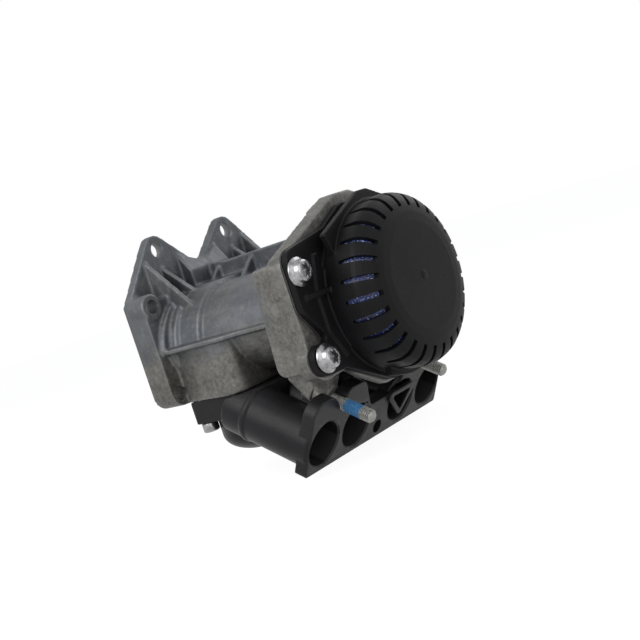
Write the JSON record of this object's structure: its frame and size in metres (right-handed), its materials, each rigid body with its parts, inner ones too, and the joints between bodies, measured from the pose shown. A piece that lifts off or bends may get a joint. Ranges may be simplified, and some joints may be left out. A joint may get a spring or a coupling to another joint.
{
  "type": "foot control valve",
  "caption": "Foot-operated air control valve: die-cast body with eared mounting flange, slotted silencer cap, tilted port manifold and a spring-loaded plunger.",
  "frame": {"origin": "centre of the plunger's face, in the front plane of the mounting flange", "axes": "+X along the main bore from the mounting flange to the silencer cap, +Z towards the two mounting ears, +Y completes the right-handed frame"},
  "size_m": [0.1682, 0.1504, 0.1568],
  "materials": {
    "casting": "raw die cast, matt with faint streaks",
    "cap_plastic": "satin black moulding",
    "manifold_plastic": "glass-filled black moulding",
    "zinc": "bright zinc plated",
    "steel": "plain machined steel",
    "brass": "turned",
    "rubber": "moulded black",
    "filter": "blue knitted mesh",
    "anodised": "turned and anodised",
    "inner_plastic": "dark grey moulding"
  },
  "bodies": {
    "root": {"valve_body": "casting", "silencer_cap": "cap_plastic", "cap_gasket": "rubber", "filter_element": "filter", "cap_screw_1": "zinc", "cap_screw_2": "zinc", "cap_screw_3": "zinc", "cap_screw_4": "zinc", "port_manifold": "manifold_plastic", "manifold_bolt_1": "zinc", "manifold_bolt_2": "zinc", "manifold_bolt_3": "zinc", "stud_left": "steel", "stud_right": "steel", "port_seal_1": "rubber", "port_seal_2": "rubber", "port_seal_3": "rubber", "port_seal_4": "rubber", "guide_bush": "inner_plastic", "plunger_wiper": "rubber", "front_snap_ring": "steel", "circuit_divider": "inner_plastic", "divider_seal": "rubber", "primary_valve_retainer": "brass", "exhaust_carrier": "inner_plastic", "carrier_seal": "rubber", "secondary_valve_retainer": "brass", "exhaust_flap": "rubber", "rear_snap_ring": "steel", "primary_return_spring": "steel", "relay_return_spring": "steel", "primary_valve_spring": "steel", "secondary_valve_spring": "steel"},
    "plunger": {"plunger": "anodised", "spring_seat": "steel"},
    "primary_piston": {"primary_piston": "anodised", "primary_piston_seal": "rubber", "graduating_spring": "steel"},
    "relay_piston": {"relay_piston": "anodised", "relay_piston_seal": "rubber"},
    "primary_valve": {"primary_valve": "inner_plastic"},
    "secondary_valve": {"secondary_valve": "inner_plastic"}
  },
  "joints": [
    {"name": "plunger_slide", "type": "slide", "parent": "root", "child": "plunger", "axis": [1, 0, 0], "range_m": [0, 0.012], "stiffness_N_per_m": 4000, "springref_m": -0.005},
    {"name": "primary_piston_slide", "type": "slide", "parent": "root", "child": "primary_piston", "axis": [1, 0, 0], "range_m": [0, 0.004], "deforming": ["graduating_spring", "primary_return_spring"]},
    {"name": "primary_valve_slide", "type": "slide", "parent": "root", "child": "primary_valve", "axis": [1, 0, 0], "range_m": [0, 0.0024], "deforming": ["primary_valve_spring"]},
    {"name": "relay_piston_slide", "type": "slide", "parent": "root", "child": "relay_piston", "axis": [1, 0, 0], "range_m": [0, 0.004], "deforming": ["relay_return_spring"]},
    {"name": "secondary_valve_slide", "type": "slide", "parent": "root", "child": "secondary_valve", "axis": [1, 0, 0], "range_m": [0, 0.0024], "deforming": ["secondary_valve_spring"]}
  ],
  "couplings": [
    {"joint": "primary_piston_slide", "follows": "plunger_slide", "ratio": 0.33333},
    {"joint": "relay_piston_slide", "follows": "plunger_slide", "ratio": 0.33333},
    {"joint": "primary_valve_slide", "follows": "plunger_slide", "ratio": 0.2},
    {"joint": "secondary_valve_slide", "follows": "plunger_slide", "ratio": 0.2}
  ]
}
